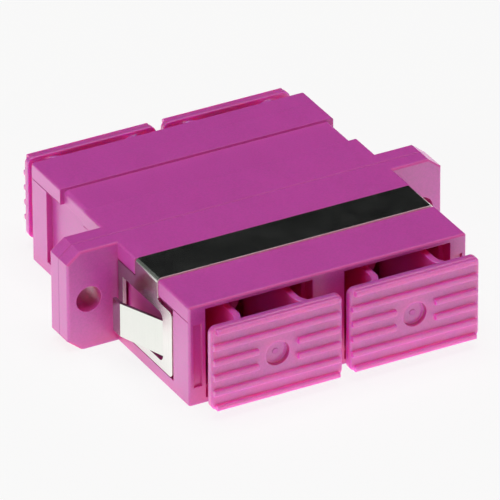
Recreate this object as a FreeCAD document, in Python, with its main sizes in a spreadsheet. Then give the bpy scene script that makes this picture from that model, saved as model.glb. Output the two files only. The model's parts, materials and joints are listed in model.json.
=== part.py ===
"""Duplex fibre adapter for two 2.5 mm ferrule plugs on each side.

Two identical moulded half housings are welded together at the middle of the
flange and trap four latch frames and two split alignment sleeves. A bent
strip of spring steel clips over the front half, and a ribbed dust cap stands
in each of the four ports.

Frame: +X to the right seen from the front, +Y from the front to the rear,
+Z up. The origin is on the underside, at the middle of the flange.
"""
import FreeCAD, Part

import os
import re

import Sketcher
from FreeCAD import Placement, Rotation, Vector

# Driving sizes in millimetres. A text value is a formula.
SIZES = {
    # housing
    "port_pitch": 12.7,
    "port_centre": "=port_pitch / 2",
    "body_width": 25.5,
    "body_height": 9.05,
    "mid_height": "=body_height / 2",
    "half_length": 13.8,
    "edge_round": 0.2,
    "seam_chamfer": 0.04,
    # how far a cutting sketch reaches past the material
    "overshoot": 1.0,
    # flange with its two screw ears
    "flange_width": 34.7,
    "flange_layer": 1.52,
    "ear_chamfer_x": 1.2,
    "ear_chamfer_z": 0.96,
    "ear_edge_round": 0.22,
    "screw_spacing": 30.8,
    "screw_hole_dia": 2.3,
    # ports
    "port_width": 9.0,
    "port_height": 7.4,
    "mouth_width": 9.8,
    "mouth_height": 8.2,
    "mouth_depth": 1.2,
    "seat_width": 10.4,
    "seat_depth": 1.5,
    "key_slot_width": 2.5,
    "key_slot_length": 3.8,
    # recesses on the outside of a half housing
    "recess_floor_x": 12.2,
    "recess_end": 11.1,
    "recess_low": 1.0,
    "recess_high": 7.6,
    "seat_floor_x": 12.38,
    "seat_floor_z": 8.81,
    "seat_round": 0.4,
    "seat_start": 4.5,
    "seat_end": 8.6,
    "pillar_slot_in": 11.56,
    "pillar_slot_out": 12.34,
    "pillar_slot_low": 1.6,
    "pillar_slot_high": 7.35,
    "pillar_slot_depth": 0.2,
    "mould_line_z": 7.72,
    "mould_line_y": 11.6,
    "mould_step": 0.04,
    "mould_line_width": 0.1,
    # spring steel panel clip
    "clip_sheet": 0.3,
    "clip_out_x": "=body_width / 2",
    "clip_in_x": "=clip_out_x - clip_sheet",
    "clip_under_z": "=seat_floor_z",
    "clip_top_z": "=clip_under_z + clip_sheet",
    "clip_low_z": 1.08,
    "clip_rear_y": 1.62,
    "clip_front_y": 10.85,
    "clip_band_rear": 4.62,
    "clip_band_front": 8.4,
    "clip_shoulder_rear_z": 7.5,
    "clip_shoulder_front_z": 7.1,
    "clip_bend_out": 0.42,
    "clip_bend_in": 0.12,
    "clip_corner_round": 0.45,
    "window_rear_y": 2.4,
    "window_front_y": 9.3,
    "window_low_z": 1.8,
    "window_high_z": 6.3,
    "window_round": 0.6,
    "wing_low_z": 2.4,
    "wing_high_z": 5.65,
    "wing_taper": 0.26,
    "wing_reach": 1.55,
    "wing_bend_y": 4.85,
    "wing_tip_y": 3.6,
    "wing_slant_sheet": 0.284,
    "wing_root": 0.2,
    "wing_overlap": 0.1,
    # latch frame: tube for the sleeve and two hooks
    "frame_width": 10.3,
    "frame_height": 7.3,
    "frame_base": 1.5,
    "tube_dia": 4.2,
    "tube_length": 6.6,
    "tube_bore": 3.26,
    "tube_bore_depth": 5.8,
    "tube_mouth_dia": 2.7,
    "tube_edge": 0.2,
    "hook_in_x": 3.8,
    "hook_out_x": 4.4,
    "hook_height": 3.0,
    "hook_barb_x": 3.4,
    "hook_barb_y": 8.2,
    "hook_barb_flat_y": 8.4,
    "hook_nose_start_y": 8.8,
    "hook_nose_x": 3.95,
    "hook_nose_y": 9.9,
    "hook_root_round": 0.3,
    # split alignment sleeve
    "sleeve_dia": 3.2,
    "sleeve_bore": 2.5,
    "sleeve_length": 11.4,
    "sleeve_slit": 0.5,
    # dust cap
    "cap_width": 11.95,
    "cap_height": 7.55,
    "cap_corner": 0.6,
    "cap_plate": 0.65,
    "cap_edge": 0.15,
    "rib_height": 0.5,
    "rib_proud": 0.35,
    "rib_left_x": 5.87,
    "rib_right_x": 5.65,
    "rib_short_x": 5.59,
    "rib_round": 0.18,
    "rib_margin": 0.05,
    "rib_pitch": "=(cap_height - rib_height - 2 * rib_margin) / 5",
    "rib_gap": 3.6,
    "dimple_dia": 2.15,
    "dimple_depth": 0.4,
    "arm_in_x": 2.45,
    "arm_out_x": 3.0,
    "arm_flare_in": 1.4,
    "arm_flare_out": 1.6,
    "arm_height": 6.9,
    "arm_length": 9.9,
    "arm_edge": 0.2,
    # how each cap stands at the mouth of its port
    "front_cap_gap": 2.12,
    "front_left_cap_x": "=0.17 - port_centre",
    "front_left_cap_z": "=mid_height - 0.005",
    "front_right_cap_x": "=port_centre + 0.08",
    "front_right_cap_z": "=mid_height + 0.1",
    "rear_cap_gap": 1.55,
    "rear_left_cap_x": "=0.05 - port_centre",
    "rear_left_cap_z": "=mid_height + 0.2",
    "rear_right_cap_x": "=port_centre",
    "rear_right_cap_z": "=mid_height + 0.2",
}

X_AXIS = Vector(1, 0, 0)
Y_AXIS = Vector(0, 1, 0)
Z_AXIS = Vector(0, 0, 1)

doc = FreeCAD.newDocument("duplex_fibre_adapter")
sheet = doc.addObject("Spreadsheet::Sheet", "sizes")
for row, (alias, value) in enumerate(SIZES.items(), start=1):
    sheet.set(f"A{row}", alias)
    sheet.set(f"B{row}", str(value))
    sheet.setAlias(f"B{row}", alias)
doc.recompute()


def bound(text):
    """Turn a formula in plain aliases into an expression on the sheet."""
    return re.sub(r"[a-z][a-z_]*", lambda word: "sizes." + word.group(), text)


def number(text):
    """Return the present value of a formula in plain aliases."""
    return float(sheet.evalExpression(re.sub(r"[a-z][a-z_]*", lambda word: "." + word.group(), text)))


def new_body(label):
    return doc.addObject("PartDesign::Body", label)


def new_sketch(body, name, role, offset=None):
    """Attach a sketch to one of the body's own origin planes."""
    sketch = body.newObject("Sketcher::SketchObject", name)
    plane = next(item for item in body.Origin.OriginFeatures if item.Role == role)
    sketch.AttachmentSupport = [(plane, "")]
    sketch.MapMode = "FlatFace"
    if offset:
        sketch.setExpression("AttachmentOffset.Base.z", bound(offset))
    return sketch


def bind(sketch, constraint, text):
    """Add a constraint whose value follows a formula on the sheet."""
    index = sketch.addConstraint(constraint)
    sketch.setExpression(f"Constraints[{index}]", bound(text))


def add_outline(sketch, corners):
    """Draw a closed outline through corners, each (x, y) as formulas.

    A third item in a corner is the radius of the arc that leaves it, and a
    fourth, left or right, says on which side of the travel its centre lies.
    """
    points = [Vector(number(corner[0]), number(corner[1]), 0) for corner in corners]
    curves = []
    for index, corner in enumerate(corners):
        start = points[index]
        end = points[(index + 1) % len(points)]
        if len(corner) == 2:
            curves.append((sketch.addGeometry(Part.LineSegment(start, end), False), 1, 2))
            continue
        radius = number(corner[2])
        across = (end - start).cross(Vector(0, 0, 1)).normalize()
        if corner[3] == "left":
            across = -across
        half = (end - start).Length / 2
        centre = (start + end) / 2 + across * max(radius**2 - half**2, 0) ** 0.5
        first, last = (start, end) if corner[3] == "left" else (end, start)
        from_angle = Vector(1, 0, 0).getAngle(first - centre)
        to_angle = Vector(1, 0, 0).getAngle(last - centre)
        from_angle = -from_angle if first.y < centre.y else from_angle
        to_angle = -to_angle if last.y < centre.y else to_angle
        arc = Part.ArcOfCircle(Part.Circle(centre, Vector(0, 0, 1), radius), from_angle, to_angle)
        curve = sketch.addGeometry(arc, False)
        bind(sketch, Sketcher.Constraint("Radius", curve, radius), corner[2])
        curves.append((curve, 1, 2) if corner[3] == "left" else (curve, 2, 1))
    for index, corner in enumerate(corners):
        curve, leaving, _ = curves[index]
        before, _, arriving = curves[index - 1]
        sketch.addConstraint(Sketcher.Constraint("Coincident", before, arriving, curve, leaving))
        bind(sketch, Sketcher.Constraint("DistanceX", -1, 1, curve, leaving, points[index].x), corner[0])
        bind(sketch, Sketcher.Constraint("DistanceY", -1, 1, curve, leaving, points[index].y), corner[1])


def add_rectangle(sketch, left, right, low, high):
    add_outline(sketch, [(left, low), (right, low), (right, high), (left, high)])


def add_circle(sketch, x_text, y_text, diameter):
    circle = Part.Circle(Vector(number(x_text), number(y_text), 0), Vector(0, 0, 1), number(diameter) / 2)
    curve = sketch.addGeometry(circle, False)
    bind(sketch, Sketcher.Constraint("DistanceX", -1, 1, curve, 3, circle.Center.x), x_text)
    bind(sketch, Sketcher.Constraint("DistanceY", -1, 1, curve, 3, circle.Center.y), y_text)
    bind(sketch, Sketcher.Constraint("Diameter", curve, number(diameter)), diameter)


def add_pad(body, sketch, name, length, symmetric=False, backwards=False):
    """Add material from a sketch, along its normal unless told otherwise."""
    feature = body.newObject("PartDesign::Pad", name)
    feature.Profile = sketch
    feature.SideType = "Symmetric" if symmetric else "One side"
    feature.Reversed = backwards
    feature.setExpression("Length", bound(length))
    sketch.Visibility = False
    doc.recompute()
    return feature


def add_pocket(body, sketch, name, length=None, symmetric=False, along=False):
    """Remove material from a sketch and make sure that something was removed.

    A pocket runs against its sketch's normal, or along it with along=True.
    """
    before = body.Shape.Volume
    feature = body.newObject("PartDesign::Pocket", name)
    feature.Profile = sketch
    feature.SideType = "Symmetric" if symmetric else "One side"
    feature.Reversed = along
    if length is None:
        feature.Type = "ThroughAll"
    else:
        feature.setExpression("Length", bound(length))
    sketch.Visibility = False
    doc.recompute()
    if body.Shape.Volume > before - 1e-4:
        raise RuntimeError(f"{body.Label}: pocket {name} removes nothing")
    return feature


def dress_edges(body, kind, name, size, wanted):
    """Fillet or chamfer the edges for which wanted(edge centre, edge) holds."""
    base = body.Tip
    names = []
    for index, edge in enumerate(base.Shape.Edges, start=1):
        if wanted(edge.CenterOfMass, edge):
            names.append(f"Edge{index}")
    if not names:
        raise RuntimeError(f"{body.Label}: {name} finds no edge")
    feature = body.newObject("PartDesign::" + kind, name)
    feature.Base = (base, names)
    feature.setExpression("Radius" if kind == "Fillet" else "Size", bound(size))
    doc.recompute()
    if "Invalid" in feature.State:
        raise RuntimeError(f"{body.Label}: {name} fails")
    return feature


def near(value, text):
    return abs(value - number(text)) < 1e-3


def runs_along(edge, axis):
    """Say whether a straight edge is parallel to an axis vector."""
    if not isinstance(edge.Curve, Part.Line):
        return False
    return abs(abs(edge.Curve.Direction.dot(axis)) - 1) < 1e-6


def place(body, x_text="0", y_text="0", z_text="0", turned=False, axis=Z_AXIS):
    """Set a body's place; turned faces it to the rear, half a turn about an axis."""
    body.Placement = Placement(Vector(0, 0, 0), Rotation(axis, 180 if turned else 0))
    for letter, text in zip("xyz", (x_text, y_text, z_text)):
        body.setExpression(f"Placement.Base.{letter}", bound(text))


def half_housing(label, turned):
    """One moulded half, mouth towards -Y, with the weld face on Y = 0."""
    body = new_body(label)

    sketch = new_sketch(body, "body_section", "XZ_Plane")
    add_rectangle(sketch, "-body_width / 2", "body_width / 2", "0", "body_height")
    add_pad(body, sketch, "body_block", "half_length")

    sketch = new_sketch(body, "flange_outline", "XZ_Plane")
    right = "flange_width / 2"
    inner = "flange_width / 2 - ear_chamfer_x"
    upper = "body_height - ear_chamfer_z"
    add_outline(sketch, [
        ("-(" + inner + ")", "0"), (inner, "0"), (right, "ear_chamfer_z"), (right, upper),
        (inner, "body_height"), ("-(" + inner + ")", "body_height"), ("-" + right, upper),
        ("-" + right, "ear_chamfer_z"),
    ])
    add_pad(body, sketch, "flange", "flange_layer")

    dress_edges(body, "Fillet", "ear_edges", "ear_edge_round", lambda centre, edge: (
        near(centre.y, "-flange_layer") and abs(centre.x) > number("body_width / 2") + 0.01
        and not (runs_along(edge, X_AXIS) and near(centre.z, "0"))))
    dress_edges(body, "Fillet", "body_edges", "edge_round", lambda centre, edge: centre.z > 0.01 and (
        near(centre.y, "-half_length") or (runs_along(edge, Y_AXIS)
        and near(abs(centre.x), "body_width / 2") and centre.y < -number("flange_layer"))))

    sketch = new_sketch(body, "screw_holes_section", "XZ_Plane")
    for sign in ("-", ""):
        add_circle(sketch, sign + "screw_spacing / 2", "mid_height", "screw_hole_dia")
    add_pocket(body, sketch, "screw_holes", "flange_layer", along=True)

    port_cuts = (
        ("ports", "port_width", "port_height", "half_length", None),
        ("frame_seats", "seat_width", "port_height", "seat_depth", None),
        ("port_mouths", "mouth_width", "mouth_height", "mouth_depth", "half_length - mouth_depth"),
    )
    for name, width, height, depth, start in port_cuts:
        sketch = new_sketch(body, name + "_section", "XZ_Plane", start)
        for sign in ("-", ""):
            middle = sign + "port_centre"
            add_rectangle(sketch, f"{middle} - {width} / 2", f"{middle} + {width} / 2",
                          f"mid_height - {height} / 2", f"mid_height + {height} / 2")
        add_pocket(body, sketch, name, depth, along=True)

    sketch = new_sketch(body, "side_recess_plan", "XY_Plane", "recess_low")
    add_rectangle(sketch, "-body_width", "-recess_floor_x", "-recess_end", "-flange_layer")
    add_rectangle(sketch, "recess_floor_x", "body_width", "-recess_end", "-flange_layer")
    add_pocket(body, sketch, "side_recesses", "recess_high - recess_low", along=True)

    sketch = new_sketch(body, "clip_seat_section", "XZ_Plane", "seat_start")
    above = "body_height + overshoot"
    add_outline(sketch, [
        ("body_width", "recess_high"), ("body_width", above), ("-body_width", above),
        ("-body_width", "recess_high"), ("-seat_floor_x", "recess_high"),
        ("-seat_floor_x", "seat_floor_z - seat_round", "seat_round", "right"),
        ("seat_round - seat_floor_x", "seat_floor_z"),
        ("seat_floor_x - seat_round", "seat_floor_z", "seat_round", "right"),
        ("seat_floor_x", "seat_floor_z - seat_round"), ("seat_floor_x", "recess_high"),
    ])
    add_pocket(body, sketch, "clip_seat", "seat_end - seat_start", along=True)

    if turned:
        sketch = new_sketch(body, "end_step_side", "YZ_Plane")
        add_rectangle(sketch, "-half_length - overshoot", "-mould_line_y", "body_height - mould_step", above)
        add_pocket(body, sketch, "end_step", symmetric=True)

    sketch = new_sketch(body, "side_line_section", "XZ_Plane", "flange_layer")
    for sign in ("-", ""):
        edges = [f"{sign}body_width", f"{sign}(body_width / 2 - mould_step)"]
        add_rectangle(sketch, edges[0], edges[1], "mould_line_z - mould_line_width", "mould_line_z")
    add_pocket(body, sketch, "side_mould_line", "half_length", along=True)

    sketch = new_sketch(body, "pillar_slots_section", "XZ_Plane", "half_length")
    for sign in ("-", ""):
        edges = [f"{sign}pillar_slot_in", f"{sign}pillar_slot_out"]
        add_rectangle(sketch, edges[0], edges[1], "pillar_slot_low", "pillar_slot_high")
    add_pocket(body, sketch, "pillar_slots", "pillar_slot_depth")

    sketch = new_sketch(body, "key_slots_plan", "XY_Plane")
    for sign in ("-", ""):
        middle = sign + "port_centre"
        left = f"{middle} - key_slot_width / 2"
        right = f"{middle} + key_slot_width / 2"
        add_rectangle(sketch, left, right, "-half_length - overshoot", "key_slot_length - half_length")
    add_pocket(body, sketch, "key_slots", "mid_height", along=True)

    dress_edges(body, "Chamfer", "weld_seam", "seam_chamfer", lambda centre, edge: (
        near(centre.y, "0") and centre.z > 0.01
        and (near(centre.z, "body_height") or abs(centre.x) > number("flange_width / 2 - ear_chamfer_x"))))
    place(body, turned=turned)
    return body


def latch_frame(label, side, turned):
    """Sleeve holder and two hooks on one base plate, tube towards -Y."""
    body = new_body(label)

    sketch = new_sketch(body, "base_section", "XZ_Plane")
    add_rectangle(sketch, "-frame_width / 2", "frame_width / 2", "-frame_height / 2", "frame_height / 2")
    add_pad(body, sketch, "base", "frame_base")

    sketch = new_sketch(body, "tube_section", "XZ_Plane")
    add_circle(sketch, "0", "0", "tube_dia")
    add_pad(body, sketch, "tube", "tube_length")

    for side_name, sign in (("left", "-"), ("right", "")):
        sketch = new_sketch(body, side_name + "_hook_plan", "XY_Plane")
        add_outline(sketch, [
            (sign + "hook_out_x", "-frame_base / 2"),
            (sign + "hook_in_x", "-frame_base / 2"),
            (sign + "hook_in_x", "-hook_barb_y"),
            (sign + "hook_barb_x", "-hook_barb_flat_y"),
            (sign + "hook_barb_x", "-hook_nose_start_y"),
            (sign + "hook_nose_x", "-hook_nose_y"),
            (sign + "hook_out_x", "-hook_nose_y"),
        ])
        add_pad(body, sketch, side_name + "_hook", "hook_height", symmetric=True)

    dress_edges(body, "Fillet", "hook_roots", "hook_root_round", lambda centre, edge: (
        near(centre.y, "-frame_base") and near(abs(centre.x), "hook_in_x") and runs_along(edge, Z_AXIS)))

    bores = (
        ("sleeve_bore", "tube_bore", "tube_bore_depth"),
        ("ferrule_way", "tube_mouth_dia", "tube_length"),
    )
    for name, diameter, depth in bores:
        sketch = new_sketch(body, name + "_section", "XZ_Plane")
        add_circle(sketch, "0", "0", diameter)
        add_pocket(body, sketch, name, depth, along=True)

    dress_edges(body, "Chamfer", "ferrule_lead_in", "tube_edge", lambda centre, edge: (
        near(centre.y, "-tube_length") and near(edge.Curve.Radius, "tube_mouth_dia / 2")))
    place(body, side + "port_centre", "0", "mid_height", turned)
    return body


def split_sleeve(label, side):
    """Slit ceramic tube that lines up the two ferrules of a channel."""
    body = new_body(label)
    sketch = new_sketch(body, "sleeve_section", "XZ_Plane")
    add_circle(sketch, "0", "0", "sleeve_dia")
    add_circle(sketch, "0", "0", "sleeve_bore")
    add_pad(body, sketch, "sleeve", "sleeve_length", symmetric=True)
    sketch = new_sketch(body, "slit_section", "XZ_Plane")
    add_rectangle(sketch, "-sleeve_slit / 2", "sleeve_slit / 2", "0", "sleeve_dia")
    add_pocket(body, sketch, "slit", symmetric=True)
    place(body, side + "port_centre", "0", "mid_height")
    return body


def panel_clip(label):
    """Spring steel strip over the front half, with a cut and bent wing on each leg."""
    body = new_body(label)
    sketch = new_sketch(body, "strip_section", "XZ_Plane", "clip_rear_y")
    add_outline(sketch, [
        ("-clip_out_x", "clip_low_z"), ("-clip_in_x", "clip_low_z"), ("-clip_in_x", "clip_under_z"),
        ("clip_in_x", "clip_under_z"), ("clip_in_x", "clip_low_z"), ("clip_out_x", "clip_low_z"),
        ("clip_out_x", "clip_top_z"), ("-clip_out_x", "clip_top_z"),
    ])
    add_pad(body, sketch, "bent_strip", "clip_front_y - clip_rear_y")
    dress_edges(body, "Fillet", "outer_bends", "clip_bend_out", lambda centre, edge: (
        runs_along(edge, Y_AXIS) and near(centre.z, "clip_top_z")))
    dress_edges(body, "Fillet", "inner_bends", "clip_bend_in", lambda centre, edge: (
        runs_along(edge, Y_AXIS) and near(centre.z, "clip_under_z") and near(abs(centre.x), "clip_in_x")))

    sketch = new_sketch(body, "strip_trim_side", "YZ_Plane")
    high = "clip_top_z + overshoot"
    add_rectangle(sketch, "-clip_front_y - overshoot", "-clip_band_front", "clip_shoulder_front_z", high)
    add_rectangle(sketch, "-clip_band_rear", "0", "clip_shoulder_rear_z", high)
    add_pocket(body, sketch, "strip_trim", symmetric=True)
    dress_edges(body, "Fillet", "leg_corners", "clip_corner_round", lambda centre, edge: (
        runs_along(edge, X_AXIS) and near(edge.Length, "clip_sheet")
        and (near(centre.y, "-clip_front_y") or near(centre.z, "clip_shoulder_front_z"))))

    sketch = new_sketch(body, "window_side", "YZ_Plane")
    front = "-window_front_y"
    front_in = "window_round - window_front_y"
    add_outline(sketch, [
        ("-window_rear_y", "window_low_z"), ("-window_rear_y", "window_high_z"),
        (front_in, "window_high_z", "window_round", "left"), (front, "window_high_z - window_round"),
        (front, "window_low_z + window_round", "window_round", "left"), (front_in, "window_low_z"),
    ])
    add_pocket(body, sketch, "windows", symmetric=True)

    for side_name, sign in (("left", "-"), ("right", "")):
        sketch = new_sketch(body, side_name + "_wing_plan", "XY_Plane", "(wing_low_z + wing_high_z) / 2")
        tip_out = sign + "(clip_out_x + wing_reach)"
        tip_in = sign + "(clip_out_x + wing_reach - clip_sheet)"
        root_y = "-window_front_y - wing_root"
        slant_in = sign + "(clip_out_x - wing_slant_sheet)"
        add_outline(sketch, [
            (sign + "clip_in_x", root_y), (sign + "clip_out_x", root_y), (sign + "clip_out_x", front),
            (tip_out, "-wing_bend_y"), (tip_out, "-wing_tip_y"), (tip_in, "-wing_tip_y"),
            (tip_in, "-wing_bend_y"), (slant_in, "wing_overlap - window_front_y"),
            (sign + "clip_in_x", front),
        ])
        add_pad(body, sketch, side_name + "_wing", "wing_high_z - wing_low_z", symmetric=True)

    sketch = new_sketch(body, "wing_taper_side", "YZ_Plane")
    above = "wing_high_z + wing_overlap"
    add_outline(sketch, [
        (front, "wing_high_z"), ("-wing_tip_y", "wing_high_z - wing_taper"), ("-wing_tip_y", above),
        (front, above),
    ])
    add_pocket(body, sketch, "wing_taper_cut", symmetric=True)
    return body


def dust_cap(label, turned):
    """Ribbed plate with two flared arms that grip the sleeve holder."""
    body = new_body(label)

    sketch = new_sketch(body, "plate_section", "XZ_Plane")
    right = "cap_width / 2"
    high = "cap_height / 2"
    in_x = "cap_width / 2 - cap_corner"
    in_z = "cap_height / 2 - cap_corner"
    add_outline(sketch, [
        (f"-({in_x})", f"-{high}"), (in_x, f"-{high}", "cap_corner", "left"),
        (right, f"-({in_z})"), (right, in_z, "cap_corner", "left"),
        (in_x, high), (f"-({in_x})", high, "cap_corner", "left"),
        (f"-{right}", in_z), (f"-{right}", f"-({in_z})", "cap_corner", "left"),
    ])
    add_pad(body, sketch, "plate", "cap_plate")
    dress_edges(body, "Chamfer", "plate_front_edge", "cap_edge", lambda centre, edge: (
        near(centre.y, "-cap_plate")))

    sketch = new_sketch(body, "ribs_section", "XZ_Plane", "cap_plate - cap_edge")
    for row in range(6):
        middle = f"(rib_pitch * ({row} - 2.5))"
        low = f"{middle} - rib_height / 2"
        top = f"{middle} + rib_height / 2"
        if row in (2, 3):
            add_rectangle(sketch, "-rib_left_x", "-rib_gap / 2", low, top)
            add_rectangle(sketch, "rib_gap / 2", "rib_right_x", low, top)
        elif row in (0, 5):
            add_rectangle(sketch, "-rib_short_x", "rib_short_x", low, top)
        else:
            add_rectangle(sketch, "-rib_left_x", "rib_right_x", low, top)
    add_pad(body, sketch, "ribs", "rib_proud + cap_edge")
    dress_edges(body, "Fillet", "rib_edges", "rib_round", lambda centre, edge: (
        near(centre.y, "-cap_plate - rib_proud") and runs_along(edge, X_AXIS)))

    sketch = new_sketch(body, "dimple_section", "XZ_Plane", "cap_plate")
    add_circle(sketch, "0", "0", "dimple_dia")
    add_pocket(body, sketch, "dimple", "dimple_depth")

    for side_name, sign, bend in (("left", "-", "right"), ("right", "", "left")):
        sketch = new_sketch(body, side_name + "_arm_plan", "XY_Plane")
        other = "left" if bend == "right" else "right"
        add_outline(sketch, [
            (sign + "arm_in_x", "arm_length"),
            (sign + "arm_in_x", "arm_flare_in", "arm_flare_in", bend),
            (sign + "(arm_in_x + arm_flare_in)", "0"),
            (sign + "(arm_in_x + arm_flare_in)", "-cap_plate / 2"),
            (sign + "(arm_out_x + arm_flare_out)", "-cap_plate / 2"),
            (sign + "(arm_out_x + arm_flare_out)", "0", "arm_flare_out", other),
            (sign + "arm_out_x", "arm_flare_out"),
            (sign + "arm_out_x", "arm_length"),
        ])
        add_pad(body, sketch, side_name + "_arm", "arm_height", symmetric=True)
    dress_edges(body, "Chamfer", "arm_tips", "arm_edge", lambda centre, edge: (
        near(centre.y, "arm_length")))
    spot = label.replace("dust_", "")
    y_text = "half_length + rear_cap_gap" if turned else "-half_length - front_cap_gap"
    place(body, spot + "_x", y_text, spot + "_z", turned, X_AXIS)
    return body


parts = [
    half_housing("front_housing", turned=False),
    half_housing("rear_housing", turned=True),
    panel_clip("panel_clip"),
]
for end, turned in (("front", False), ("rear", True)):
    for side_name, sign in (("left", "-"), ("right", "")):
        parts.append(latch_frame(f"{end}_{side_name}_latch_frame", sign, turned))
        parts.append(dust_cap(f"{end}_{side_name}_dust_cap", turned))
for side_name, sign in (("left", "-"), ("right", "")):
    parts.append(split_sleeve(f"{side_name}_split_sleeve", sign))

doc.recompute()
for item in doc.Objects:
    if "Invalid" in item.State or "Error" in item.State:
        raise RuntimeError(f"{item.Label} failed: {item.State}")
for part in parts:
    if part.Shape.isNull() or not part.Shape.isValid() or len(part.Shape.Solids) != 1:
        raise RuntimeError(f"{part.Label} is not one valid solid")

os.makedirs("parts", exist_ok=True)
for part in parts:
    part.Shape.exportStep(f"parts/{part.Label}.step")
    box = part.Shape.BoundBox
    print(f"{part.Label}: {part.Shape.Volume:.1f} mm3, {len(part.Shape.Faces)} faces, "
          f"X {box.XMin:.2f} {box.XMax:.2f} Y {box.YMin:.2f} {box.YMax:.2f} Z {box.ZMin:.2f} {box.ZMax:.2f}")
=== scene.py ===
"""Looks of a duplex fibre adapter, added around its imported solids.

The frame is the part's own: +X to the right seen from the front, +Y to the
rear, +Z up, the origin on the underside. Lengths are in metres.
"""
import json
import math

import bpy
from bpy.props import FloatProperty, FloatVectorProperty, PointerProperty
from mathutils import Matrix, Vector

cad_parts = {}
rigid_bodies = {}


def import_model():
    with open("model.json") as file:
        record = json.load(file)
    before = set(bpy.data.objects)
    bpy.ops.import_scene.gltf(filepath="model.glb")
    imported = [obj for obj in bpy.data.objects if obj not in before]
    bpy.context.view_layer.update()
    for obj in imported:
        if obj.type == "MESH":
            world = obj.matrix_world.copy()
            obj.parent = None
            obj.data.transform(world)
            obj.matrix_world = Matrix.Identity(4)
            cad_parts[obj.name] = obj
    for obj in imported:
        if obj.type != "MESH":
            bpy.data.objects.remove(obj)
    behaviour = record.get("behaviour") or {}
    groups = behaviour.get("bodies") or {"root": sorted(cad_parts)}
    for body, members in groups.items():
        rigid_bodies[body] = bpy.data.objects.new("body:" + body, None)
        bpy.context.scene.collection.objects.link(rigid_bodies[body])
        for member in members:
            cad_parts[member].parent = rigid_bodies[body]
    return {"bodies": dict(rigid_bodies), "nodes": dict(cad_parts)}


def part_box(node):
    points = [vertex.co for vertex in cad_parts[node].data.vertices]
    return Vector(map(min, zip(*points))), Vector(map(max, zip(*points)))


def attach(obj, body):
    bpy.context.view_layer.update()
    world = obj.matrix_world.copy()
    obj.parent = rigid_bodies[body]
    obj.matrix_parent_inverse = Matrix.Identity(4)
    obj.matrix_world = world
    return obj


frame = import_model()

bl_info = {
    "name": "Duplex fibre adapter looks",
    "version": (1, 0, 0),
    "blender": (4, 5, 0),
    "location": "3D View > Sidebar > Adapter",
    "description": "Finishes a duplex fibre adapter: plastics, clip, sleeves, gate marks and studio",
    "category": "Object",
}

MM = 0.001
CAD_NODES = frame["nodes"]
CAP_NODES = {
    "front_left_cap": "front_left_dust_cap",
    "front_right_cap": "front_right_dust_cap",
    "rear_left_cap": "rear_left_dust_cap",
    "rear_right_cap": "rear_right_dust_cap",
}


def linear(hex_colour):
    """Turn an sRGB hex colour into linear red, green and blue."""
    parts = [int(hex_colour[start:start + 2], 16) / 255 for start in (1, 3, 5)]
    return tuple(p / 12.92 if p <= 0.04045 else ((p + 0.055) / 1.055) ** 2.4 for p in parts)


def tint(colour, factor=1.0):
    """Return a colour as a shader socket takes it, darker or lighter by a factor."""
    return (*(min(part * factor, 1.0) for part in colour), 1.0)


def length_setting(name, description, millimetres):
    return FloatProperty(name=name, description=description, default=millimetres * MM,
                         min=0.0, subtype="DISTANCE", unit="LENGTH", precision=5)


def colour_setting(name, description, hex_colour):
    return FloatVectorProperty(name=name, description=description, default=linear(hex_colour),
                               min=0.0, max=1.0, size=3, subtype="COLOR")


def factor_setting(name, description, value):
    return FloatProperty(name=name, description=description, default=value,
                         min=0.0, max=1.0, subtype="FACTOR")


def power_setting(name, description, watts):
    return FloatProperty(name=name, description=description, default=watts, min=0.0,
                         subtype="POWER", unit="POWER")


class PlasticSettings(bpy.types.PropertyGroup):
    """Colours and surface of the moulded plastics."""
    housing_colour: colour_setting("Housing", "Colour of the welded half housings", "#C446A6")
    cap_colour: colour_setting("Caps", "Colour of the four dust caps", "#C64CA9")
    latch_colour: colour_setting("Latch frames", "Colour of the frames inside the ports", "#B8449A")
    # Real spark-eroded grain is a few hundredths of a millimetre wide. It is drawn coarser, so that it shows.
    grain_size: length_setting("Grain", "Width of the spark-eroded grain on the housings", 0.16)
    grain_depth: length_setting("Grain depth", "Height of that grain", 0.006)
    edge_radius: length_setting("Edge radius", "How far light rounds the moulded edges", 0.06)


class SteelSettings(bpy.types.PropertyGroup):
    """Colour and rolling marks of the spring clip."""
    steel_colour: colour_setting("Steel", "Colour of the bright spring steel", "#AFB2AD")
    # The real strip's rolling marks are finer too, and are drawn coarse enough to show.
    line_width: length_setting("Line width", "Spacing of the rolling marks along the strip", 0.10)
    roughness: factor_setting("Roughness", "Roughness of the rolled surface", 0.2)


class SleeveSettings(bpy.types.PropertyGroup):
    """Colour of the ceramic alignment sleeves."""
    ceramic_colour: colour_setting("Ceramic", "Colour of the zirconia sleeves", "#F1EEE4")


class GateMarkSettings(bpy.types.PropertyGroup):
    """Size of the stub that the mould's gate leaves in each cap's dimple."""
    width: length_setting("Width", "Width of the stub at its foot", 0.55)
    height: length_setting("Height", "How far the stub stands off the dimple floor", 0.04)
    floor_depth: length_setting("Floor depth", "How far the dimple floor lies behind the ribs", 0.75)


class StudioSettings(bpy.types.PropertyGroup):
    """Floor, lamps and the light from all round."""
    floor_colour: colour_setting("Floor", "Colour of the plain floor", "#F2F1EF")
    shadow_share: factor_setting("Shadow", "How much of the floor's shadow the eye sees", 0.16)
    table_light: FloatProperty(name="Table light", description="Light that comes up through the board",
                               default=0.68, min=0.0)
    mirrored_light: FloatProperty(name="Mirrored light", description="The board as glossy surfaces mirror it",
                                  default=1.3, min=0.0)
    ambient: FloatProperty(name="Ambient", description="Light from all round", default=0.03, min=0.0)
    left_power: power_setting("Left softbox", "Power of the low softbox on the left", 0.66)
    front_power: power_setting("Front softbox", "Power of the softbox at the front", 0.12)
    top_power: power_setting("Top softbox", "Power of the softbox overhead", 3.3)


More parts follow.
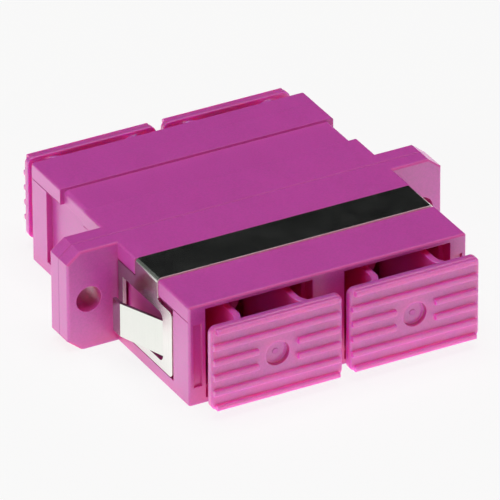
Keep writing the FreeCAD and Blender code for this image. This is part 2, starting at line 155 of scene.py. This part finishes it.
SETTINGS = {
    "adapter_plastic": PlasticSettings,
    "adapter_steel": SteelSettings,
    "adapter_sleeve": SleeveSettings,
    "adapter_gate": GateMarkSettings,
    "adapter_studio": StudioSettings,
}


def add_node(tree, kind, sockets=None, **settings):
    """Add a node with its settings; a socket takes a value or another node's output."""
    node = tree.nodes.new("ShaderNode" + kind)
    for key, value in settings.items():
        setattr(node, key, value)
    for key, value in (sockets or {}).items():
        if isinstance(value, bpy.types.NodeSocket):
            tree.links.new(value, node.inputs[key])
        else:
            node.inputs[key].default_value = value
    return node


def new_material(name):
    material = bpy.data.materials.new(name)
    material.use_nodes = True
    material.node_tree.nodes.clear()
    return material, material.node_tree


def give_material(names, material):
    """Put a material in the only slot of each CAD node."""
    for name in names:
        CAD_NODES[name].material_slots[0].material = material


# Sizes in the plastics: swirls of the melt, and how far away a wall still shades its neighbour.
MELT_SWIRL = 3.5 * MM
SHADE_REACH = 5.0 * MM
# From where to where, going in, the painted crimson bounce light in the ports grows. On the underside it
# fades out with the height.
PORT_MOUTH = (15.0 * MM, 13.6 * MM)
UNDERSIDE_FADE = (0.05 * MM, 0.3 * MM)
PORT_BOUNCE_PAINT = linear("#DA167A")
RIM_SHADE_PAINT = linear("#CC2086")
# From a dimple's axis to the middle of the ring of painted shade at its wall, and half the ring's width.
DIMPLE_WALL = 1.06 * MM
DIMPLE_RING = 0.025 * MM
DIMPLE_SHADE_PAINT = linear("#B80A80")
# Half the width of the weld line round the flange, where it starts to show and where it is full.
WELD_LINE = (0.09 * MM, 0.04 * MM)


def melt_colour(tree, place, colour, grains, turn):
    """Colour of a moulded surface: swirls of the melt, speckle in its grain, a painted highlight on its
    edges.
    """
    stretched = add_node(tree, "Mapping", {"Vector": place, "Scale": (1.0, 0.35, 1.0)})
    flow = add_node(tree, "TexNoise", {
        "Vector": stretched.outputs["Vector"], "Scale": 1 / MELT_SWIRL, "Detail": 3.0,
        "Roughness": 0.55, "Distortion": 0.6}).outputs["Fac"]
    melt = add_node(tree, "Mix", {0: flow, 6: tint(colour, 0.87), 7: tint(colour, 1.07)},
                    data_type="RGBA").outputs[2]
    speckle = add_node(tree, "MapRange", {
        "Value": grains, "From Min": 0.35, "From Max": 0.65, "To Min": 0.0, "To Max": 0.42})
    speckled = add_node(tree, "Mix", {
        0: speckle.outputs["Result"], 6: melt, 7: tint(colour, 1.28)}, data_type="RGBA").outputs[2]
    # Painted highlight: where the rounded normal turns away from the flat one, the edge is lightened.
    edge = add_node(tree, "MapRange", {
        "Value": turn, "From Min": 1.0, "From Max": 0.8, "To Min": 0.0, "To Max": 0.05})
    painted_edge_highlight = tuple(part + 0.35 * (1.0 - part) for part in colour)
    return add_node(tree, "Mix", {
        0: edge.outputs["Result"], 6: speckled, 7: tint(painted_edge_highlight)}, data_type="RGBA").outputs[2]


def paint_light_in_depths(tree, place, shown, colour, painted_fill_light, dark):
    """Paint light into narrow corners, and paint the shade inside the ports crimson as bounce light."""
    openness = add_node(tree, "AmbientOcclusion", {"Distance": SHADE_REACH}, samples=6).outputs["AO"]
    if painted_fill_light:
        # Painted fill light: narrow corners are lightened, for the light that comes through the milky
        # plastic.
        fill = add_node(tree, "MapRange", {
            "Value": openness, "From Min": 0.75, "From Max": 0.4, "To Min": 0.0, "To Max": painted_fill_light})
        shown = add_node(tree, "Mix", {
            0: fill.outputs["Result"], 6: shown, 7: tint(colour, 1.7)}, data_type="RGBA").outputs[2]
    # Painted bounce light: the shade in a port is tinted crimson, for light that bounces about there comes
    # out crimson, because the dye swallows the rest.
    spot = add_node(tree, "SeparateXYZ", {0: place}).outputs
    off_middle = add_node(tree, "Math", {0: spot["Y"]}, operation="ABSOLUTE").outputs[0]
    inside = add_node(tree, "MapRange", {
        "Value": off_middle, "From Min": PORT_MOUTH[0], "From Max": PORT_MOUTH[1]}).outputs["Result"]
    lifted = add_node(tree, "MapRange", {
        "Value": spot["Z"], "From Min": UNDERSIDE_FADE[0], "From Max": UNDERSIDE_FADE[1]}).outputs["Result"]
    deep = add_node(tree, "MapRange", {
        "Value": openness, "From Min": dark, "From Max": dark - 0.4,
        "To Min": 0.0, "To Max": 0.85}).outputs["Result"]
    hollow = add_node(tree, "Math", {0: inside, 1: lifted}, operation="MULTIPLY").outputs[0]
    share = add_node(tree, "Math", {0: hollow, 1: deep}, operation="MULTIPLY").outputs[0]
    shown = add_node(tree, "Mix", {0: share, 6: shown, 7: tint(PORT_BOUNCE_PAINT)}, data_type="RGBA").outputs[2]
    return shown, off_middle


def moulded_plastic(name, colour, grain, depth, edge, roughness, glow, reach, painted_fill_light=0.0, dark=1.0, painted_rim_shade=0.0,
                    dimple=None):
    """Injection-moulded plastic: satin grain, faint flow marks, softly lit edges with a painted highlight.

    Glow is the share of light that goes into it, and reach how far. Painted fill
    light is how much light is painted into narrow corners, and dark how open to
    light a place has to be before its shade stops being painted crimson. Painted
    rim shade is how much crimson shade is painted on the rounded edges along the
    width. Dimple is the middle of a round dimple whose wall gets a painted ring of
    crimson shade as well.
    """
    material, tree = new_material(name)
    place = add_node(tree, "TexCoord").outputs["Object"]
    grains = add_node(tree, "TexNoise", {
        "Vector": place, "Scale": 1 / grain, "Detail": 2.0, "Roughness": 0.6}).outputs["Fac"]
    rounded = add_node(tree, "Bevel", {"Radius": edge}, samples=6).outputs["Normal"]
    flat = add_node(tree, "NewGeometry").outputs["Normal"]
    turn = add_node(tree, "VectorMath", {0: rounded, 1: flat}, operation="DOT_PRODUCT").outputs["Value"]
    shown = melt_colour(tree, place, colour, grains, turn)
    shown, off_middle = paint_light_in_depths(tree, place, shown, colour, painted_fill_light, dark)
    rough = add_node(tree, "MapRange", {
        "Value": grains, "From Min": 0.3, "From Max": 0.7,
        "To Min": roughness - 0.05, "To Max": roughness + 0.06}).outputs["Result"]
    if painted_rim_shade:
        # Painted shade: the rounded edges along the width are tinted a darker crimson, and made rougher, so
        # that they mirror little.
        facing = add_node(tree, "SeparateXYZ", {0: flat}).outputs
        slant = add_node(tree, "Math", {0: facing["Y"], 1: facing["Z"]}, operation="MULTIPLY").outputs[0]
        slant = add_node(tree, "Math", {0: slant}, operation="ABSOLUTE").outputs[0]
        share = add_node(tree, "MapRange", {
            "Value": slant, "From Min": 0.1, "From Max": 0.4, "To Min": 0.0, "To Max": painted_rim_shade}).outputs["Result"]
        shown = add_node(tree, "Mix", {0: share, 6: shown, 7: tint(RIM_SHADE_PAINT)}, data_type="RGBA").outputs[2]
        rough = add_node(tree, "Math", {0: share, 1: rough}, operation="MAXIMUM").outputs[0]
    if dimple:
        # Painted shade: a ring of crimson is painted on the dimple's wall.
        across = add_node(tree, "VectorMath", {0: place, 1: (1.0, 0.0, 1.0)}, operation="MULTIPLY")
        radius = add_node(tree, "VectorMath", {0: across.outputs[0], 1: dimple}, operation="DISTANCE")
        wall = add_node(tree, "Math", {0: radius.outputs["Value"], 1: DIMPLE_WALL, 2: DIMPLE_RING},
                        operation="COMPARE").outputs[0]
        share = add_node(tree, "Math", {0: wall, 1: 0.8}, operation="MULTIPLY").outputs[0]
        shown = add_node(tree, "Mix", {0: share, 6: shown, 7: tint(DIMPLE_SHADE_PAINT)},
                         data_type="RGBA").outputs[2]
    # The weld line round the flange is a hair darker than the halves it joins.
    weld = add_node(tree, "MapRange", {
        "Value": off_middle, "From Min": WELD_LINE[0], "From Max": WELD_LINE[1],
        "To Min": 0.0, "To Max": 0.22})
    shown = add_node(tree, "Mix", {
        0: weld.outputs["Result"], 6: shown, 7: tint(colour, 0.45)}, data_type="RGBA").outputs[2]
    bumps = add_node(tree, "Bump", {
        "Strength": 0.6, "Distance": depth, "Height": grains, "Normal": rounded})
    # Both PBT and polyethylene bend light about as glass does.
    shader = add_node(tree, "BsdfPrincipled", {
        "Base Color": shown, "Roughness": rough, "IOR": 1.54,
        "Specular IOR Level": 0.8, "Subsurface Weight": glow, "Subsurface Radius": (1.4, 0.18, 0.5),
        "Subsurface Scale": reach, "Normal": bumps.outputs["Normal"]})
    add_node(tree, "OutputMaterial", {"Surface": shader.outputs[0]})
    return material


# On the steel: width of the smudges, depth of the rolling marks and how far light rounds an edge.
SMUDGE_WIDTH = 2.5 * MM
LINE_DEPTH = 0.002 * MM
STEEL_EDGE = 0.03 * MM


def rolled_steel(name, settings):
    """Spring steel strip, rolled bright: fine lines along its length, smudges, dull slit edges with a painted
    highlight.
    """
    material, tree = new_material(name)
    place = add_node(tree, "TexCoord").outputs["Object"]
    # The strip runs along X over the top and along Z down the legs, so only Y crosses the lines.
    along = add_node(tree, "Mapping", {"Vector": place, "Scale": (0.02, 1.0, 0.02)})
    lines = add_node(tree, "TexNoise", {
        "Vector": along.outputs["Vector"], "Scale": 1 / settings.line_width, "Detail": 3.0,
        "Roughness": 0.7}).outputs["Fac"]
    smudges = add_node(tree, "TexNoise", {
        "Vector": place, "Scale": 1 / SMUDGE_WIDTH, "Detail": 3.0, "Roughness": 0.6,
        "Distortion": 0.8}).outputs["Fac"]
    steel = settings.steel_colour
    tone = add_node(tree, "Mix", {0: lines, 6: tint(steel, 0.90), 7: tint(steel, 1.05)},
                    data_type="RGBA").outputs[2]
    rough = add_node(tree, "MapRange", {
        "Value": smudges, "From Min": 0.3, "From Max": 0.7,
        "To Min": settings.roughness - 0.02, "To Max": settings.roughness + 0.03})
    # The strip was slit to width: its two long edges are torn matt metal, not rolled.
    across = add_node(tree, "SeparateXYZ", {0: add_node(tree, "NewGeometry").outputs["Normal"]}).outputs["Y"]
    steep = add_node(tree, "Math", {0: across}, operation="ABSOLUTE").outputs[0]
    slit = add_node(tree, "Math", {0: steep, 1: 0.9}, operation="GREATER_THAN").outputs[0]
    torn = add_node(tree, "Mix", {0: slit, 2: rough.outputs["Result"], 3: 0.5}).outputs[0]
    # Painted highlight: the slit edges are also given a much lighter colour.
    tone = add_node(tree, "Mix", {0: slit, 6: tone, 7: tint(steel, 1.9)}, data_type="RGBA").outputs[2]
    rounded = add_node(tree, "Bevel", {"Radius": STEEL_EDGE}, samples=4).outputs["Normal"]
    bumps = add_node(tree, "Bump", {
        "Strength": 0.25, "Distance": LINE_DEPTH, "Height": lines, "Normal": rounded})
    shader = add_node(tree, "BsdfPrincipled", {
        "Base Color": tone, "Metallic": 1.0, "Roughness": torn, "Normal": bumps.outputs["Normal"]})
    add_node(tree, "OutputMaterial", {"Surface": shader.outputs[0]})
    return material


# On the ceramic: the wheel's rings, drawn coarse enough to show, and clouds in its white.
RING_SPACING = 0.6 * MM
CLOUD_WIDTH = 0.9 * MM


def ground_ceramic(name, colour):
    """Zirconia, centreless ground and polished: warm white, glossy, faint rings of the wheel."""
    material, tree = new_material(name)
    place = add_node(tree, "TexCoord").outputs["Object"]
    rings = add_node(tree, "TexWave", {
        "Vector": place, "Scale": 1 / RING_SPACING, "Distortion": 0.4, "Detail": 2.0},
        bands_direction="Y").outputs["Fac"]
    clouds = add_node(tree, "TexNoise", {
        "Vector": place, "Scale": 1 / CLOUD_WIDTH, "Detail": 2.0}).outputs["Fac"]
    tone = add_node(tree, "Mix", {0: clouds, 6: tint(colour, 0.94), 7: tint(colour, 1.03)},
                    data_type="RGBA").outputs[2]
    rough = add_node(tree, "MapRange", {"Value": rings, "To Min": 0.14, "To Max": 0.22})
    shader = add_node(tree, "BsdfPrincipled", {
        "Base Color": tone, "Roughness": rough.outputs["Result"], "IOR": 2.1,
        "Subsurface Weight": 0.1, "Subsurface Radius": (1.0, 0.9, 0.7),
        "Subsurface Scale": 0.3 * MM})
    add_node(tree, "OutputMaterial", {"Surface": shader.outputs[0]})
    return material


class ADAPTER_OT_housings(bpy.types.Operator):
    """Give both half housings their spark-eroded moulded plastic"""
    bl_idname = "adapter.housings"
    bl_label = "Finish housings"

    def execute(self, context):
        look = context.scene.adapter_plastic
        # PBT, moulded in a spark-eroded cavity: satin, with a fine even grain that dulls the gloss.
        plastic = moulded_plastic("pbt_spark_eroded_housing", look.housing_colour, look.grain_size,
                                  look.grain_depth, look.edge_radius, roughness=0.38, glow=0.3,
                                  reach=0.6 * MM, dark=0.55, painted_rim_shade=0.65)
        give_material(["front_housing", "rear_housing"], plastic)
        return {"FINISHED"}


class ADAPTER_OT_latch_frames(bpy.types.Operator):
    """Give the four latch frames their smooth moulded plastic"""
    bl_idname = "adapter.latch_frames"
    bl_label = "Finish latch frames"

    def execute(self, context):
        look = context.scene.adapter_plastic
        # PBT from a polished cavity: smoother than the housings, with no grain to speak of.
        plastic = moulded_plastic("pbt_smooth_latch_frame", look.latch_colour, look.grain_size,
                                  look.grain_depth / 3, look.edge_radius / 2, roughness=0.36, glow=0.5,
                                  reach=1.5 * MM)
        give_material([name for name in CAD_NODES if name.endswith("latch_frame")], plastic)
        return {"FINISHED"}


class ADAPTER_OT_dust_caps(bpy.types.Operator):
    """Give the four dust caps their soft moulded plastic"""
    bl_idname = "adapter.dust_caps"
    bl_label = "Finish dust caps"

    def execute(self, context):
        look = context.scene.adapter_plastic
        # Polyethylene: waxy and softer looking than PBT, because light goes further into it.
        for cap in CAP_NODES.values():
            low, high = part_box(cap)
            dimple = ((low[0] + high[0]) / 2, 0.0, (low[2] + high[2]) / 2)
            plastic = moulded_plastic("polyethylene_moulded_" + cap, look.cap_colour, look.grain_size,
                                      look.grain_depth / 2, look.edge_radius * 3, roughness=0.36,
                                      glow=1.0, reach=1.0 * MM, painted_fill_light=0.9, dark=0.88, dimple=dimple)
            give_material([cap], plastic)
        return {"FINISHED"}


class ADAPTER_OT_panel_clip(bpy.types.Operator):
    """Give the panel clip its bright rolled spring steel"""
    bl_idname = "adapter.panel_clip"
    bl_label = "Finish panel clip"

    def execute(self, context):
        give_material(["panel_clip"], rolled_steel("spring_steel_bright_rolled", context.scene.adapter_steel))
        return {"FINISHED"}


class ADAPTER_OT_sleeves(bpy.types.Operator):
    """Give the two split sleeves their ground ceramic"""
    bl_idname = "adapter.sleeves"
    bl_label = "Finish sleeves"

    def execute(self, context):
        colour = context.scene.adapter_sleeve.ceramic_colour
        give_material(["left_split_sleeve", "right_split_sleeve"], ground_ceramic("zirconia_ground", colour))
        return {"FINISHED"}


def deselect_all():
    if bpy.context.mode != "OBJECT":
        bpy.ops.object.mode_set(mode="OBJECT")
    bpy.ops.object.select_all(action="DESELECT")


def select_faces(mesh_object, wanted):
    """In edit mode, select the faces whose centre and normal pass a test."""
    bpy.ops.mesh.select_all(action="DESELECT")
    bpy.ops.object.mode_set(mode="OBJECT")
    for face in mesh_object.data.polygons:
        face.select = wanted(face.center, face.normal)
    bpy.ops.object.mode_set(mode="EDIT")
    bpy.ops.mesh.select_mode(type="FACE")


# How far a gate stub reaches into the cap, and the width of its rounded edges.
STUB_BURY = 0.06 * MM
STUB_ROUNDING = 0.03 * MM


class ADAPTER_OT_gate_marks(bpy.types.Operator):
    """Model the torn stub of the mould's gate in the dimple of each cap"""
    bl_idname = "adapter.gate_marks"
    bl_label = "Add gate marks"

    def execute(self, context):
        size = context.scene.adapter_gate
        look = context.scene.adapter_plastic
        # The cap's polyethylene, torn off dull. The stub is too thin for light to wander in it.
        plastic = moulded_plastic("polyethylene_torn_gate", look.cap_colour, look.grain_size / 2,
                                  look.grain_depth, look.edge_radius / 2, roughness=0.6, glow=0.0,
                                  reach=1.0 * MM, dark=0.4)
        deselect_all()
        bpy.ops.mesh.primitive_cylinder_add(vertices=20, radius=size.width / 2,
                                            depth=size.height + STUB_BURY,
                                            location=(0, (STUB_BURY - size.height) / 2, 0),
                                            rotation=(math.radians(90), 0, 0))
        first = context.active_object
        bpy.ops.object.transform_apply(location=True, rotation=True, scale=True)
        bpy.ops.object.mode_set(mode="EDIT")
        select_faces(first, lambda centre, normal: normal.y < -0.9)
        # The stub narrows to a tip that tore off to one side.
        bpy.ops.mesh.inset(thickness=size.width * 0.17, depth=0)
        bpy.ops.transform.translate(value=(-size.width * 0.05, -size.height * 0.12, size.width * 0.04))
        bpy.ops.mesh.inset(thickness=size.width * 0.10, depth=-size.height * 0.3)
        bpy.ops.mesh.select_all(action="SELECT")
        bpy.ops.object.mode_set(mode="OBJECT")
        rounding = first.modifiers.new("rounding", "BEVEL")
        rounding.width = STUB_ROUNDING
        rounding.segments = 2
        bpy.ops.object.modifier_apply(modifier="rounding")
        bpy.ops.object.shade_smooth_by_angle(angle=math.radians(40))
        for body, cap in CAP_NODES.items():
            low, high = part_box(cap)
            stub = first.copy()
            stub.data = first.data.copy()
            stub.name = body + "_gate_mark"
            context.collection.objects.link(stub)
            front = body.startswith("front")
            turn = Matrix.Rotation(0.0 if front else math.pi, 4, "Z")
            floor_y = low.y + size.floor_depth if front else high.y - size.floor_depth
            spot = Vector(((low.x + high.x) / 2, floor_y, (low.z + high.z) / 2))
            stub.data.transform(Matrix.Translation(spot) @ turn)
            stub.data.materials.append(plastic)
            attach(stub, body)
        bpy.data.objects.remove(first)
        return {"FINISHED"}


def floor_material(studio):
    """Matt white board, lit from below too: near white to the eye, with the object's shadow on it."""
    material, tree = new_material("matt_white_board")
    place = add_node(tree, "TexCoord").outputs["Object"]
    mottle = add_node(tree, "TexNoise", {"Vector": place, "Scale": 60.0, "Detail": 2.0}).outputs["Fac"]
    tone = add_node(tree, "Mix", {
        0: mottle, 6: tint(studio.floor_colour, 0.98), 7: tint(studio.floor_colour, 1.01)},
        data_type="RGBA").outputs[2]
    matt = add_node(tree, "BsdfDiffuse", {"Color": tone}).outputs[0]
    path = add_node(tree, "LightPath").outputs
    to_eye = path["Is Camera Ray"]
    mirrored = add_node(tree, "Math", {0: path["Is Glossy Ray"], 1: path["Is Transmission Ray"]},
                        operation="MAXIMUM").outputs[0]
    upward = add_node(tree, "MapRange", {
        "Value": mirrored, "To Min": studio.table_light, "To Max": studio.mirrored_light})
    strength = add_node(tree, "Mix", {0: to_eye, 2: upward.outputs["Result"], 3: 1.0}).outputs[0]
    glow = add_node(tree, "Emission", {"Strength": strength}).outputs[0]
    lit = add_node(tree, "AddShader", {0: matt, 1: glow}).outputs[0]
    shown = add_node(tree, "MixShader", {0: studio.shadow_share, 1: glow, 2: matt}).outputs[0]
    above = add_node(tree, "MixShader", {0: to_eye, 1: lit, 2: shown}).outputs[0]
    # From below the board is clear, so that the underside can be looked at.
    under = add_node(tree, "NewGeometry").outputs["Backfacing"]
    clear = add_node(tree, "BsdfTransparent").outputs[0]
    board = add_node(tree, "MixShader", {0: under, 1: above, 2: clear})
    add_node(tree, "OutputMaterial", {"Surface": board.outputs[0]})
    return material


def card_material():
    """Black velvet card, which the bright steel mirrors as the dark studio behind."""
    material, tree = new_material("black_velvet_card")
    place = add_node(tree, "TexCoord").outputs["Object"]
    nap = add_node(tree, "TexNoise", {"Vector": place, "Scale": 90.0, "Detail": 2.0}).outputs["Fac"]
    tone = add_node(tree, "Mix", {0: nap, 6: tint(linear("#0D0E10")), 7: tint(linear("#141517"))},
                    data_type="RGBA").outputs[2]
    velvet = add_node(tree, "BsdfDiffuse", {"Color": tone})
    add_node(tree, "OutputMaterial", {"Surface": velvet.outputs[0]})
    return material


def screen_material():
    """Grey-green screen, dimly lit through its cloth, which the bend of the steel mirrors."""
    material, tree = new_material("grey_screen_cloth")
    place = add_node(tree, "TexCoord").outputs["Object"]
    cloth = add_node(tree, "TexNoise", {"Vector": place, "Scale": 12.0, "Detail": 2.0}).outputs["Fac"]
    tone = add_node(tree, "Mix", {0: cloth, 6: tint(linear("#5F665F")), 7: tint(linear("#747A73"))},
                    data_type="RGBA").outputs[2]
    screen = add_node(tree, "Emission", {"Color": tone})
    add_node(tree, "OutputMaterial", {"Surface": screen.outputs[0]})
    return material


# Card: its middle, in metres, its width and height, and its material.
CARDS = {
    "studio_black_card": ((0.335, 0.42, 0.29), (0.83, 0.56), card_material),
    "studio_grey_card": ((-0.22, 0.42, 0.21), (0.28, 0.36), screen_material),
}
# The floor lies a hair under the object, so that the two don't share a plane.
FLOOR_SIZE = 3.0
FLOOR_GAP = 0.02 * MM


class ADAPTER_OT_stage(bpy.types.Operator):
    """Lay the pale floor and stand two cards out of the camera's sight"""
    bl_idname = "adapter.stage"
    bl_label = "Build stage"

    def execute(self, context):
        deselect_all()
        bpy.ops.mesh.primitive_plane_add(size=FLOOR_SIZE, location=(0, 0, -FLOOR_GAP))
        floor = context.active_object
        floor.name = "studio_floor"
        floor.data.materials.append(floor_material(context.scene.adapter_studio))
        for name, (spot, size, make) in CARDS.items():
            deselect_all()
            bpy.ops.mesh.primitive_plane_add(size=1.0, location=(0, 0, 0))
            card = context.active_object
            card.name = name
            card.matrix_world = (Matrix.Translation(spot) @ Matrix.Rotation(math.radians(90), 4, "X")
                                 @ Matrix.Diagonal((*size, 1.0, 1.0)))
            card.data.materials.append(make())
            card.visible_camera = False
        return {"FINISHED"}


# Lamp: where it stands, in metres, its width and height, and the setting of its power.
LAMPS = {
    "left_softbox": ((-0.60, -0.05, 0.20), (0.40, 0.30), "left_power"),
    "front_softbox": ((0.20, -0.58, 0.12), (0.40, 0.20), "front_power"),
    "top_softbox": ((0.0, -0.04, 0.65), (0.50, 0.50), "top_power"),
}


class ADAPTER_OT_lights(bpy.types.Operator):
    """Set up the softboxes and the light from all round"""
    bl_idname = "adapter.lights"
    bl_label = "Set lights"

    def execute(self, context):
        studio = context.scene.adapter_studio
        for name, (spot, size, power) in LAMPS.items():
            lamp = bpy.data.lights.new(name, "AREA")
            lamp.shape = "RECTANGLE"
            lamp.size, lamp.size_y = size
            lamp.energy = getattr(studio, power)
            stand = bpy.data.objects.new(name, lamp)
            stand.location = spot
            stand.rotation_euler = (-Vector(spot)).to_track_quat("-Z", "Y").to_euler()
            context.collection.objects.link(stand)
        world = bpy.data.worlds.new("white_studio")
        world.use_nodes = True
        tree = world.node_tree
        tree.nodes.clear()
        path = add_node(tree, "LightPath").outputs
        mirrored = add_node(tree, "Math", {0: path["Is Glossy Ray"], 1: path["Is Transmission Ray"]},
                            operation="MAXIMUM").outputs[0]
        seen = add_node(tree, "Math", {0: path["Is Camera Ray"], 1: mirrored},
                        operation="MAXIMUM").outputs[0]
        strength = add_node(tree, "MapRange", {
            "Value": seen, "To Min": studio.ambient, "To Max": 1.0})
        white = add_node(tree, "Background", {
            "Color": (1.0, 1.0, 1.0, 1.0), "Strength": strength.outputs["Result"]})
        add_node(tree, "OutputWorld", {"Surface": white.outputs[0]})
        context.scene.world = world
        return {"FINISHED"}


# The photograph's camera: its place in metres, its own axes and its focal length.
CAMERA_SPOT = Vector((-0.30790, -0.57486, 0.37173))
CAMERA_RIGHT = Vector((0.88016294, -0.47465064, -0.00446853))
CAMERA_UP = Vector((0.23649788, 0.43034596, 0.87113208))
CAMERA_BACK = Vector((-0.41156039, -0.76779498, 0.49102843))
CAMERA_LENS = 658.43


class ADAPTER_OT_camera(bpy.types.Operator):
    """Stand the camera where the photograph was taken from"""
    bl_idname = "adapter.camera"
    bl_label = "Place camera"

    def execute(self, context):
        data = bpy.data.cameras.new("studio_camera")
        data.sensor_width = 36.0
        data.lens = CAMERA_LENS
        data.clip_start = 0.05
        data.clip_end = 20.0
        camera = bpy.data.objects.new("studio_camera", data)
        turned = Matrix((CAMERA_RIGHT, CAMERA_UP, CAMERA_BACK)).transposed().to_4x4()
        camera.matrix_world = Matrix.Translation(CAMERA_SPOT) @ turned
        context.collection.objects.link(camera)
        context.scene.camera = camera
        return {"FINISHED"}


OPERATORS = (
    ADAPTER_OT_housings,
    ADAPTER_OT_latch_frames,
    ADAPTER_OT_dust_caps,
    ADAPTER_OT_panel_clip,
    ADAPTER_OT_sleeves,
    ADAPTER_OT_gate_marks,
    ADAPTER_OT_stage,
    ADAPTER_OT_lights,
    ADAPTER_OT_camera,
)


class ADAPTER_PT_looks(bpy.types.Panel):
    """Settings and steps of the adapter's looks"""
    bl_idname = "ADAPTER_PT_looks"
    bl_label = "Fibre adapter"
    bl_space_type = "VIEW_3D"
    bl_region_type = "UI"
    bl_category = "Adapter"

    def draw(self, context):
        for key, group in SETTINGS.items():
            box = self.layout.box()
            for field in group.__annotations__:
                box.prop(getattr(context.scene, key), field)
        for operator in OPERATORS:
            self.layout.operator(operator.bl_idname)


def register():
    for key, group in SETTINGS.items():
        bpy.utils.register_class(group)
        setattr(bpy.types.Scene, key, PointerProperty(type=group))
    for operator in (*OPERATORS, ADAPTER_PT_looks):
        bpy.utils.register_class(operator)


def unregister():
    for operator in (*OPERATORS, ADAPTER_PT_looks):
        bpy.utils.unregister_class(operator)
    for key, group in SETTINGS.items():
        delattr(bpy.types.Scene, key)
        bpy.utils.unregister_class(group)


def main():
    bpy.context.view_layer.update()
    register()
    # What Blender starts with, such as its cube and lamp, goes.
    kept = set(frame["nodes"].values()) | set(frame["bodies"].values())
    for item in [item for item in bpy.data.objects if item not in kept]:
        bpy.data.objects.remove(item)
    bpy.context.scene.view_settings.view_transform = "Standard"
    bpy.ops.adapter.camera()
    bpy.ops.adapter.housings()
    bpy.ops.adapter.latch_frames()
    bpy.ops.adapter.dust_caps()
    bpy.ops.adapter.panel_clip()
    bpy.ops.adapter.sleeves()
    bpy.ops.adapter.gate_marks()
    bpy.ops.adapter.stage()
    bpy.ops.adapter.lights()


if __name__ == "__main__":
    main()
